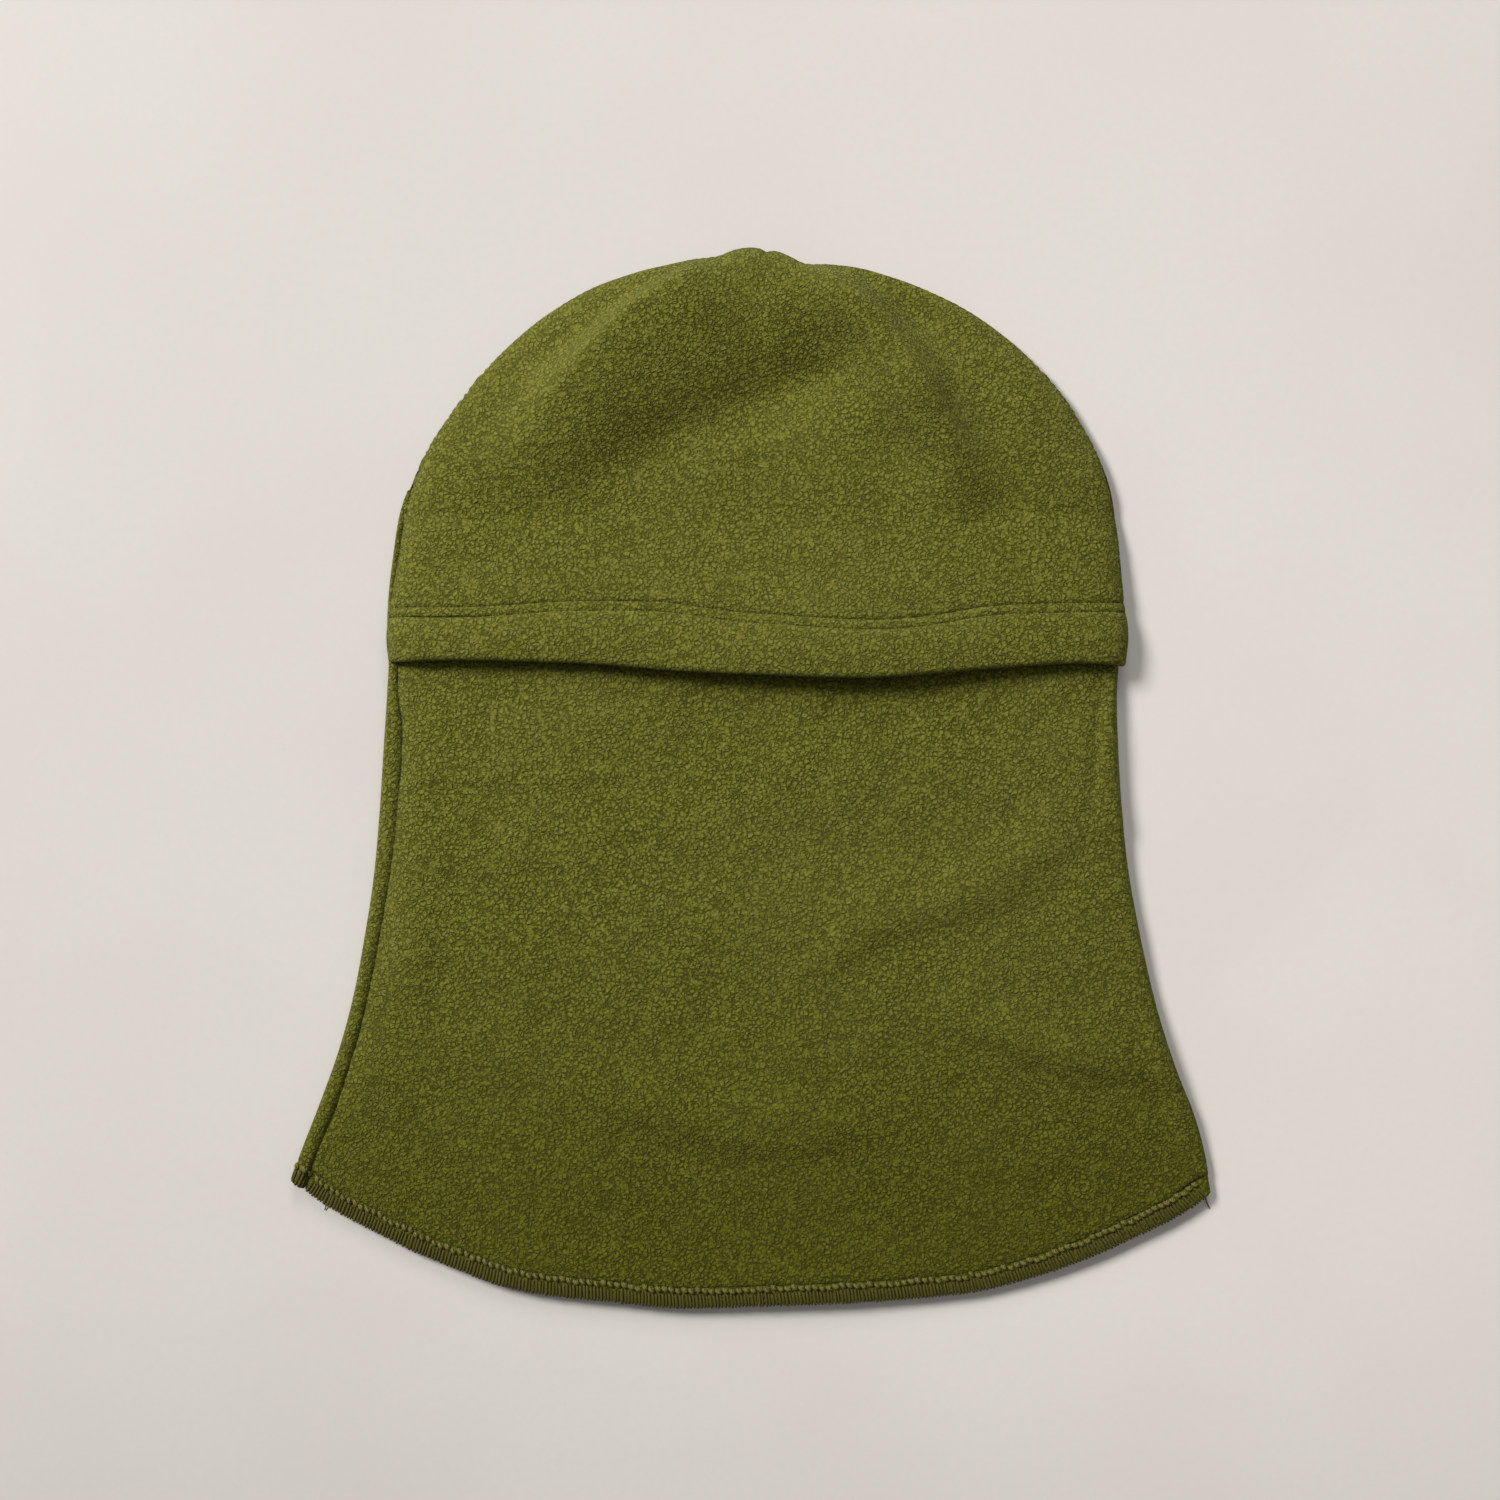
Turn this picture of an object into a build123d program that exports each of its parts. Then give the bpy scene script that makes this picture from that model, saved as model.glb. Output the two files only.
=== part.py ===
from build123d import *
import os

os.makedirs("parts", exist_ok=True)

# A fleece balaclava lying flat on its back, front side up. +Z is up, +Y runs towards the
# crown and X runs across. The origin is under the middle of the plan, on the surface that
# the hat lies on. All sizes are in millimetres.

# Cloth and thread
cloth = 2.2              # thickness of the fleece
thread = 0.5             # thickness of a laid thread
stitch_width = 0.7       # width of one needle row
ease = 0.15              # clearance between curved faces that lie on each other

# Outline of the flat hat, right half; the left half mirrors it
crown_half_width = 134.0
crown_base_y = 65.0      # where the crown's side turns straight
lobe_x = 20.0            # where each crown lobe meets the middle peak
lobe_y = 186.5
peak_y = 192.0
waist_half_width = 131.5
waist_y = 20.0
neck_half_width = 167.0
neck_corner_y = -150.0
neck_bottom_y = -192.0

# Brow hem, whose fold is a shallow arc across the hat
brow_middle_y = 37.0
brow_sag = 4.6           # how much further up the fold lies at the sides
brow_hem = 20.0          # depth of the turned-up cloth
brow_rows = (16.6, 20.2) # the two needle rows, measured up from the fold

# Face panel, tucked up under the brow
tuck_end_y = 70.0
face_hem = 18.0          # depth of its own hidden hem
face_rows = (13.0, 16.6) # its two needle rows, measured down from the top edge

# Seams
seam_allowance = 6.5     # width of the turned-in edges along the side seam
seam_fill = 2.4          # height of the turned-in edges beside the back panel
dart_length = 36.0       # closed dart that runs down from the peak
dart_width = 4.4
overlock_width = 6.5     # overlocked edge round the neck opening
overlock_rim = 0.8       # thread wrapped over the raw edge

# Heights of the undersides above the back panel
crown_room = 22.5
tuck_room = 9.8
neck_room = 7.0
crown_high_y = 40.0      # where the crown stands highest
neck_overhang = 6.0      # how far the face panel's arch runs on past the neck corners

face_edge = cloth + seam_fill
brow_edge = face_edge + 2 * cloth + thread + 2 * ease
crown_apex = cloth + crown_room
plan_reach = 1.5 * max(neck_half_width, crown_half_width)
tall = 3 * crown_apex
far_up = 2 * (peak_y - brow_middle_y)


def dome_radius(reach, drop):
    """Radius of a dome that falls by drop at a distance of reach from its top."""
    return (reach**2 + drop**2) / (2 * drop)


crown_radius = max(
    dome_radius(peak_y - crown_high_y, crown_apex - face_edge),
    dome_radius(crown_half_width, crown_apex - brow_edge),
)

# ---------------------------------------------------------------- plan shapes

with BuildSketch() as hat_plan:
    with BuildLine():
        crown_side = TangentArc(
            (crown_half_width, crown_base_y), (lobe_x, lobe_y), tangent=(0, 1)
        )
        Line(crown_side @ 0, (waist_half_width, waist_y))
        flare = TangentArc(
            (waist_half_width, waist_y), (neck_half_width, neck_corner_y), tangent=(0, -1)
        )
        mirror(about=Plane.YZ)
        ThreePointArc(crown_side @ 1, (0, peak_y), (-lobe_x, lobe_y))
        ThreePointArc(flare @ 1, (0, neck_bottom_y), (-neck_half_width, neck_corner_y))
    make_face()


def plan_inset(inset):
    """The hat's outline, drawn in by inset all round."""
    with BuildSketch() as plan:
        add(hat_plan.sketch)
        offset(amount=-inset)
    return plan.sketch


def plan_inside_seam(inset):
    """The outline drawn in by inset along the side seams, and open at the neck."""
    smaller = plan_inset(inset)
    with BuildSketch() as plan:
        add(smaller)
        with Locations((0, -2 * inset)):
            add(smaller)
        add(hat_plan.sketch, mode=Mode.INTERSECT)
    return plan.sketch


def brow_band(low, high):
    """The strip between two distances up from the brow fold."""
    side_y = brow_middle_y + brow_sag * (plan_reach / crown_half_width) ** 2
    with BuildSketch() as band:
        with BuildLine():
            bottom = ThreePointArc(
                (-plan_reach, side_y + low), (0, brow_middle_y + low), (plan_reach, side_y + low)
            )
            top = ThreePointArc(
                (-plan_reach, side_y + high), (0, brow_middle_y + high), (plan_reach, side_y + high)
            )
            Line(bottom @ 0, top @ 0)
            Line(bottom @ 1, top @ 1)
        make_face()
    return band.sketch


def neck_edge(low, high):
    """The strip between two distances up from the neck edge."""
    with BuildSketch() as strip:
        with Locations((0, low)):
            add(hat_plan.sketch)
        with Locations((0, high)):
            add(hat_plan.sketch, mode=Mode.SUBTRACT)
        add(hat_plan.sketch, mode=Mode.INTERSECT)
        add(across(neck_bottom_y, neck_corner_y + high), mode=Mode.INTERSECT)
    return strip.sketch


def across(low_y, high_y):
    """A strip straight across the hat between two places along Y."""
    with BuildSketch() as strip:
        with Locations((0, (low_y + high_y) / 2)):
            Rectangle(2 * plan_reach, high_y - low_y)
    return strip.sketch


above_brow = brow_band(0, far_up)
inside_allowance = plan_inside_seam(seam_allowance)
inside_seam = plan_inside_seam(seam_allowance + stitch_width)
inside_lining = plan_inside_seam(seam_allowance + stitch_width + ease)

# ---------------------------------------------------------------- curved levels


def arch_block(lift):
    """Everything under the face panel's lower face, raised by lift."""
    arches = (
        (neck_bottom_y - overlock_width, neck_half_width + neck_overhang, neck_room),
        (tuck_end_y + overlock_width, crown_half_width, tuck_room),
    )
    with BuildPart() as block:
        for place_y, half_width, room in arches:
            with BuildSketch(Plane.XZ.offset(-place_y)):
                with BuildLine():
                    arch = ThreePointArc(
                        (-half_width, face_edge + lift),
                        (0, cloth + room + lift),
                        (half_width, face_edge + lift),
                    )
                    Polyline(arch @ 1, (half_width, -tall), (-half_width, -tall), arch @ 0)
                make_face()
        loft()
    return block.part


def crown_dome(lift, mode):
    """The ball under the crown's inner face, grown by lift, in the part being built."""
    with Locations((0, crown_high_y, crown_apex - crown_radius)):
        Sphere(crown_radius + lift, rotation=(90, 0, 0), mode=mode)


face_under = arch_block(0)
face_over = arch_block(cloth)
face_over_skin = arch_block(cloth - thread)
face_under_skin = arch_block(thread)
fill_top = arch_block(-ease)
lining_bottom = arch_block(-ease - cloth)
lining_thread_bottom = arch_block(-ease - cloth - thread)
cloth_top = Plane.XY.offset(cloth)

# ---------------------------------------------------------------- neck overlock

with BuildPart() as back_neck_overlock:
    with BuildSketch():
        add(neck_edge(0, overlock_width))
    extrude(amount=cloth)
    with BuildSketch(Plane.XY.offset(thread)):
        add(neck_edge(overlock_rim, overlock_width))
    extrude(amount=cloth - 2 * thread, mode=Mode.SUBTRACT)

with BuildPart() as edge_core:
    with BuildSketch(cloth_top):
        add(neck_edge(overlock_rim, overlock_width))
    extrude(amount=tall)
    add(face_over_skin, mode=Mode.INTERSECT)
    add(face_under_skin, mode=Mode.SUBTRACT)

with BuildPart() as front_neck_overlock:
    with BuildSketch(cloth_top):
        add(neck_edge(0, overlock_width))
    extrude(amount=tall)
    add(face_over, mode=Mode.INTERSECT)
    add(face_under, mode=Mode.SUBTRACT)
    add(edge_core.part, mode=Mode.SUBTRACT)

with BuildPart() as back_neck_needle_thread:
    with BuildSketch():
        add(neck_edge(overlock_width, overlock_width + stitch_width))
    extrude(amount=thread)

with BuildPart() as front_neck_needle_thread:
    with BuildSketch(cloth_top):
        add(neck_edge(overlock_width, overlock_width + stitch_width))
    extrude(amount=tall)
    add(face_over, mode=Mode.INTERSECT)
    add(face_over_skin, mode=Mode.SUBTRACT)

# ---------------------------------------------------------------- brow stitching


def brow_needle_thread(row):
    """One needle row along the brow, sunk into the crown panel's outer face."""
    with BuildPart() as needle_row:
        with BuildSketch(cloth_top):
            add(brow_band(row, row + stitch_width))
            add(inside_allowance, mode=Mode.INTERSECT)
        extrude(amount=tall)
        crown_dome(cloth, Mode.INTERSECT)
        crown_dome(cloth - thread, Mode.SUBTRACT)
    return needle_row


brow_needle_thread_lower = brow_needle_thread(brow_rows[0])
brow_needle_thread_upper = brow_needle_thread(brow_rows[1])

with BuildPart() as brow_looper_thread:
    with BuildSketch(cloth_top):
        add(brow_band(brow_rows[0], brow_hem))
        add(inside_lining, mode=Mode.INTERSECT)
    extrude(amount=tall)
    crown_dome(-ease - cloth, Mode.INTERSECT)
    crown_dome(-ease - cloth - thread, Mode.SUBTRACT)

# ---------------------------------------------------------------- face hem stitching


def face_needle_thread(row):
    """One needle row along the face panel's hidden hem, sunk into its outer face."""
    with BuildPart() as needle_row:
        with BuildSketch(cloth_top):
            add(across(tuck_end_y - row - stitch_width, tuck_end_y - row))
            add(inside_lining, mode=Mode.INTERSECT)
        extrude(amount=tall)
        add(face_over, mode=Mode.INTERSECT)
        add(face_over_skin, mode=Mode.SUBTRACT)
    return needle_row


face_needle_thread_upper = face_needle_thread(face_rows[0])
face_needle_thread_lower = face_needle_thread(face_rows[1])

with BuildPart() as face_looper_thread:
    with BuildSketch(cloth_top):
        add(across(tuck_end_y - face_hem, tuck_end_y - face_rows[0]))
        add(inside_lining, mode=Mode.INTERSECT)
    extrude(amount=tall)
    add(lining_bottom, mode=Mode.INTERSECT)
    add(lining_thread_bottom, mode=Mode.SUBTRACT)

# ---------------------------------------------------------------- panels

with BuildPart() as back_panel:
    with BuildSketch():
        add(hat_plan.sketch)
    extrude(amount=cloth)
    add(back_neck_overlock.part, mode=Mode.SUBTRACT)
    add(back_neck_needle_thread.part, mode=Mode.SUBTRACT)

with BuildPart() as crown_front_panel:
    with BuildSketch(cloth_top):
        add(hat_plan.sketch)
        add(above_brow, mode=Mode.INTERSECT)
    extrude(amount=tall)
    crown_dome(cloth, Mode.INTERSECT)
    crown_dome(0, Mode.SUBTRACT)
    add(brow_needle_thread_lower.part, mode=Mode.SUBTRACT)
    add(brow_needle_thread_upper.part, mode=Mode.SUBTRACT)

with BuildPart() as brow_hem_turnup:
    with BuildSketch(cloth_top):
        add(brow_band(0, brow_hem))
        add(inside_lining, mode=Mode.INTERSECT)
    extrude(amount=tall)
    crown_dome(-ease, Mode.INTERSECT)
    crown_dome(-ease - cloth, Mode.SUBTRACT)

with BuildSketch() as face_plan:
    add(hat_plan.sketch)
    add(above_brow, mode=Mode.SUBTRACT)
    add(inside_lining)
    add(across(neck_bottom_y, tuck_end_y), mode=Mode.INTERSECT)
    add(hat_plan.sketch, mode=Mode.INTERSECT)

with BuildPart() as face_panel:
    with BuildSketch(cloth_top):
        add(face_plan.sketch)
    extrude(amount=tall)
    add(face_over, mode=Mode.INTERSECT)
    add(face_under, mode=Mode.SUBTRACT)
    add(front_neck_overlock.part, mode=Mode.SUBTRACT)
    add(front_neck_needle_thread.part, mode=Mode.SUBTRACT)
    add(face_needle_thread_upper.part, mode=Mode.SUBTRACT)
    add(face_needle_thread_lower.part, mode=Mode.SUBTRACT)

with BuildPart() as face_hem_turnup:
    with BuildSketch(cloth_top):
        add(across(tuck_end_y - face_hem, tuck_end_y))
        add(inside_lining, mode=Mode.INTERSECT)
    extrude(amount=tall)
    add(fill_top, mode=Mode.INTERSECT)
    add(lining_bottom, mode=Mode.SUBTRACT)

# ---------------------------------------------------------------- side seams


def seam_run(outer_plan, inner_plan, side):
    """One side's run between two plans, filling up to the crown or the face panel."""
    with BuildSketch() as half:
        with Locations((side * plan_reach / 2, 0)):
            Rectangle(plan_reach, 4 * peak_y)
    with BuildPart() as run:
        with BuildSketch(cloth_top):
            add(outer_plan)
            add(inner_plan, mode=Mode.SUBTRACT)
            add(half.sketch, mode=Mode.INTERSECT)
            add(above_brow, mode=Mode.INTERSECT)
        extrude(amount=tall)
        crown_dome(-ease, Mode.INTERSECT)
    with BuildPart() as lower_run:
        with BuildSketch(cloth_top):
            add(outer_plan)
            add(inner_plan, mode=Mode.SUBTRACT)
            add(half.sketch, mode=Mode.INTERSECT)
            add(above_brow, mode=Mode.SUBTRACT)
        extrude(amount=tall)
        add(fill_top, mode=Mode.INTERSECT)
    with BuildPart() as seam:
        add(run.part)
        add(lower_run.part)
    return seam


left_seam_allowance = seam_run(hat_plan.sketch, inside_allowance, -1)
right_seam_allowance = seam_run(hat_plan.sketch, inside_allowance, 1)
left_seam_thread = seam_run(inside_allowance, inside_seam, -1)
right_seam_thread = seam_run(inside_allowance, inside_seam, 1)

# ---------------------------------------------------------------- crown dart

dart_top_y = peak_y - seam_allowance - 2 * stitch_width


def dart_strip(width):
    """A strip down the middle of the crown, as long as the dart."""
    with BuildSketch() as strip:
        with Locations((0, dart_top_y - dart_length / 2)):
            Rectangle(width, dart_length)
    return strip.sketch


with BuildPart() as crown_dart_allowance:
    with BuildSketch(cloth_top):
        add(dart_strip(dart_width))
    extrude(amount=tall)
    crown_dome(-ease, Mode.INTERSECT)
    crown_dome(-ease - cloth, Mode.SUBTRACT)

with BuildPart() as crown_dart_thread:
    with BuildSketch(cloth_top):
        add(dart_strip(stitch_width))
    extrude(amount=tall)
    crown_dome(-ease - cloth, Mode.INTERSECT)
    crown_dome(-ease - cloth - thread, Mode.SUBTRACT)

# ---------------------------------------------------------------- files

nodes = {
    "back_panel": back_panel,
    "crown_front_panel": crown_front_panel,
    "brow_hem_turnup": brow_hem_turnup,
    "brow_needle_thread_lower": brow_needle_thread_lower,
    "brow_needle_thread_upper": brow_needle_thread_upper,
    "brow_looper_thread": brow_looper_thread,
    "face_panel": face_panel,
    "face_hem_turnup": face_hem_turnup,
    "face_needle_thread_lower": face_needle_thread_lower,
    "face_needle_thread_upper": face_needle_thread_upper,
    "face_looper_thread": face_looper_thread,
    "left_seam_allowance": left_seam_allowance,
    "right_seam_allowance": right_seam_allowance,
    "left_seam_thread": left_seam_thread,
    "right_seam_thread": right_seam_thread,
    "crown_dart_allowance": crown_dart_allowance,
    "crown_dart_thread": crown_dart_thread,
    "front_neck_overlock": front_neck_overlock,
    "back_neck_overlock": back_neck_overlock,
    "front_neck_needle_thread": front_neck_needle_thread,
    "back_neck_needle_thread": back_neck_needle_thread,
}
for name, node in nodes.items():
    node.part.label = name
    export_step(node.part, f"parts/{name}.step")
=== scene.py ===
import math

import bmesh
import bpy
import numpy as np
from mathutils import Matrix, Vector


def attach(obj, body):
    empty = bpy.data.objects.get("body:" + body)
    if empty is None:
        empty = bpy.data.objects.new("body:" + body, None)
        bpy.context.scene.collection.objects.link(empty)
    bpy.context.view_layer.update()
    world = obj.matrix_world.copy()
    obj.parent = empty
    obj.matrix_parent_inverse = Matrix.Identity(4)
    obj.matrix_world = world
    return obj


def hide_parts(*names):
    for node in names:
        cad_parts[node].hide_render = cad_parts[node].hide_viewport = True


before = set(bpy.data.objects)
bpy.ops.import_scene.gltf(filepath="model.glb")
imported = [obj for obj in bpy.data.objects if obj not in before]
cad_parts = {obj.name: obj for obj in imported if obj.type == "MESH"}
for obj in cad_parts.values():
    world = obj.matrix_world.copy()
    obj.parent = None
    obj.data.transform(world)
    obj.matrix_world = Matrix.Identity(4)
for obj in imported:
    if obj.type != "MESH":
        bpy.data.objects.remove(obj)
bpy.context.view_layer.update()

# A fleece balaclava lying flat on its back. The cloth is worked out in millimetres, seen
# from above: x across, y towards the crown, z up. It is written to the meshes in metres.
MM = 0.001

CLOTH = 2.2              # fleece thickness
EDGE_CLOTH = 1.3         # fleece squeezed by the overlocked edge
OVERLOCK = 6.5           # width of the overlocked edge
FOLD_RADIUS = 1.25       # middle of the cloth where a hem turns under
BROW_HEM = 20.0          # depth of the brow's turned-up cloth
FACE_HEM = 18.0          # depth of the face panel's hidden hem
FACE_ROWS = (13.0, 16.6) # needle rows, down from the face panel's hidden end
TUCK_END = 68.0          # how far the face panel runs up under the brow
BROW_ROW_GAP = 3.6       # between the brow's two needle rows
OVERLOCK_PITCH = 2.5     # along the seam, from one stitch to the next
NEEDLE_PITCH = 2.9
LOOPER_PITCH = 2.7
UP = np.array([0.0, 0.0, 1.0])
BACK_MIDDLE = 1.12       # height of the back panel's middle layer
SHOULDER_Y = 104.0       # where a panel's sides end and its rounded top begins
ROLLED_COLUMNS = 2       # columns at a panel's side that a roll takes the place of
INSIDE_GAP = 0.12        # air between the seam allowances and the panels about them
DART_FOOT, DART_TOP = 150.0, 184.0


# ------------------------------------------------------------------ plan curves

def smooth_curve(points, spacing=1.0):
    """A smooth curve through a few points, as evenly spaced points along it."""
    knots = np.array(points, float)
    ends = np.vstack([2 * knots[0] - knots[1], knots, 2 * knots[-1] - knots[-2]])
    steps = np.linspace(0, 1, 24, endpoint=False)[:, None]
    runs = []
    for before, start, stop, after in zip(ends, ends[1:], ends[2:], ends[3:]):
        runs.append(0.5 * (
            2 * start + (stop - before) * steps
            + (2 * before - 5 * start + 4 * stop - after) * steps**2
            + (3 * start - before - 3 * stop + after) * steps**3
        ))
    dense = np.vstack(runs + [knots[-1:]])
    count = max(2, int(round(curve_length(dense) / spacing)) + 1)
    return spread(dense, np.linspace(0, 1, count))


def curve_length(points):
    return float(np.linalg.norm(np.diff(points, axis=0), axis=1).sum())


def spread(points, shares):
    """Points at the given shares of a curve's length."""
    gone = np.r_[0, np.cumsum(np.linalg.norm(np.diff(points, axis=0), axis=1))]
    return np.stack([np.interp(shares * gone[-1], gone, axis) for axis in points.T], 1)


def unit_rows(vectors):
    """Each vector made 1 long; the last axis holds its parts."""
    return vectors / np.maximum(np.linalg.norm(vectors, axis=-1, keepdims=True), 1e-9)


def smooth_step(low, high, value):
    share = np.clip((value - low) / (high - low), 0, 1)
    return share * share * (3 - 2 * share)


def bump(x, y, place, length, width, turn=0.0):
    """A soft round or long swelling of height 1 about a place, turned in degrees."""
    angle = math.radians(turn)
    along = (x - place[0]) * math.cos(angle) + (y - place[1]) * math.sin(angle)
    across = (y - place[1]) * math.cos(angle) - (x - place[0]) * math.sin(angle)
    return np.exp(-((along / length) ** 2) - (across / width) ** 2)


def distance_to(x, y, line):
    """How far each plan point lies from a line's nearest point."""
    flat = np.stack([x.ravel(), y.ravel()], 1)
    best = np.full(len(flat), np.inf)
    for start in range(0, len(line), 64):
        part = line[start:start + 64]
        gaps = np.hypot(flat[:, :1] - part[:, 0], flat[:, 1:] - part[:, 1])
        best = np.minimum(best, gaps.min(axis=1))
    return best.reshape(x.shape)


crown_edge = smooth_curve([
    (-130.6, 41.0), (-131.4, 52.0), (-129.8, 66.0), (-127.4, 82.0), (-124.6, 100.0),
    (-117.3, 119.0), (-106.5, 135.5), (-94.0, 150.5), (-78.0, 165.0), (-60.0, 176.3),
    (-44.0, 182.5), (-32.0, 185.5), (-22.0, 187.6), (-12.3, 188.8), (-7.0, 190.9),
    (-2.0, 191.9), (2.3, 191.8), (5.0, 190.7), (8.9, 190.7), (13.8, 188.6), (19.4, 186.1),
    (28.2, 185.9), (37.3, 185.1), (46.3, 183.0), (60.0, 178.2),
    (76.0, 170.5), (90.5, 160.8), (104.0, 148.6), (115.0, 135.0), (124.5, 118.5),
    (129.8, 103.0), (132.4, 86.0), (134.0, 66.0), (135.4, 53.0), (134.4, 41.0),
])
back_crown_edge = smooth_curve([
    (-131.2, 41.0), (-131.8, 60.0), (-129.6, 82.0), (-126.3, 100.0),
    (-117.6, 119.4), (-106.5, 135.6), (-94.0, 150.4), (-78.0, 164.8), (-60.0, 176.0),
    (-40.0, 183.6), (-22.0, 186.6), (-10.0, 188.4), (0.0, 189.4), (9.0, 187.6),
    (22.0, 185.2), (44.0, 182.7), (60.0, 177.8), (76.0, 170.1), (90.5, 160.4),
    (104.0, 148.2), (115.0, 134.6), (124.2, 118.5), (129.4, 103.0), (132.0, 86.0),
    (133.4, 66.0), (134.0, 53.0), (132.6, 41.0),
])
left_side = smooth_curve([
    (-166.6, -146.0), (-162.6, -135.0), (-156.0, -118.0), (-149.4, -99.5), (-143.9, -79.0),
    (-139.8, -57.0), (-136.6, -36.0), (-134.5, -12.5), (-133.0, 11.0), (-131.9, 28.0),
    (-131.2, 41.0),
])
right_side = smooth_curve([
    (166.7, -151.0), (164.0, -136.5), (159.8, -122.0), (153.9, -107.2), (147.7, -88.3),
    (143.0, -69.5), (139.0, -50.3), (135.8, -31.5), (133.6, -9.8), (132.4, 11.0),
    (131.9, 29.0), (132.6, 41.0),
])
neck_edge = smooth_curve([
    (-166.6, -146.0), (-155.0, -154.6), (-139.4, -163.2), (-123.8, -171.0), (-108.0, -177.6),
    (-92.3, -183.4), (-76.7, -186.8), (-53.0, -189.4), (-28.0, -191.8), (0.0, -191.2),
    (43.0, -189.5), (75.0, -187.0), (91.0, -184.0), (107.0, -179.4), (122.4, -173.8),
    (138.3, -166.7), (153.9, -159.2), (166.7, -151.0),
])

# The back panel wraps forward over the left side, by this much, up to the seam
wrap_line = np.array([
    (-146.0, 4.4), (-118.0, 5.0), (-85.0, 4.2), (-45.0, 4.6), (-20.0, 6.0), (5.0, 6.6),
    (18.0, 6.0), (32.0, 3.4), (41.0, 2.8), (60.0, 1.6), (85.0, 1.2), (100.0, 0.4),
])


def left_wrap(y):
    return np.interp(y, wrap_line[:, 0], wrap_line[:, 1])


seam_line = left_side + np.stack([left_wrap(left_side[:, 1]), 0 * left_side[:, 0]], 1)
face_neck_edge = neck_edge[neck_edge[:, 0] > seam_line[0, 0]]
face_neck_edge[0] = seam_line[0] + (0, -2.9)
seam_line[0] = face_neck_edge[0]

brow_line = smooth_curve([
    (-140.0, 42.0), (-128.0, 41.8), (-107.0, 42.3), (-82.0, 41.8), (-56.0, 40.8),
    (-30.0, 38.6), (-12.0, 37.6), (15.0, 36.4), (32.0, 35.9), (50.0, 36.2), (76.0, 38.4),
    (102.0, 40.4), (120.0, 41.2), (140.0, 40.0),
])
stitch_line = smooth_curve([
    (-140.0, 61.0), (-126.0, 61.4), (-99.0, 61.5), (-68.0, 63.3), (-36.0, 63.3), (-20.0, 61.5),
    (-3.0, 59.3), (16.0, 57.9), (34.0, 56.8), (50.0, 56.8), (67.0, 58.6), (84.0, 61.5),
    (102.0, 62.6), (134.0, 63.3), (142.0, 63.3),
])


def brow_y(x):
    return np.interp(x, brow_line[:, 0], brow_line[:, 1])


def stitch_y(x):
    return np.interp(x, stitch_line[:, 0], stitch_line[:, 1])


# ------------------------------------------------------------------ heights of the cloth

left_crest = smooth_curve([
    (-8.0, 191.5), (-12.3, 188.7), (-22.4, 182.4), (-33.3, 174.5), (-44.5, 166.3), (-57.0, 153.0),
    (-69.0, 138.0), (-79.0, 121.0), (-90.0, 103.0),
])
right_crest = smooth_curve([
    (14.0, 189.0), (20.0, 184.5), (30.5, 177.0), (41.5, 167.0), (50.5, 154.5), (59.0, 141.0),
    (67.0, 125.5), (75.0, 110.0), (85.0, 96.0),
])


def crest(x, y, line, heights, left_widths, right_widths, shift=0.0):
    """A fold lying along a line; its flanks to the left and right fall over their own widths."""
    flat = np.stack([x.ravel(), y.ravel()], 1)
    gaps = np.hypot(flat[:, :1] - line[:, 0], flat[:, 1:] - line[:, 1])
    nearest = gaps.argmin(axis=1)
    ahead = np.gradient(line, axis=0)[nearest]
    away = flat - line[nearest]
    side = ahead[:, 0] * away[:, 1] - ahead[:, 1] * away[:, 0]
    signed = np.sign(side) * gaps.min(axis=1) - shift
    share = nearest / (len(line) - 1)

    def along(values):
        return np.interp(share, np.linspace(0, 1, len(values)), values)

    width = np.where(signed > 0, along(left_widths), along(right_widths))
    return (along(heights) * np.exp(-((signed / width) ** 2))).reshape(x.shape)


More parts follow.
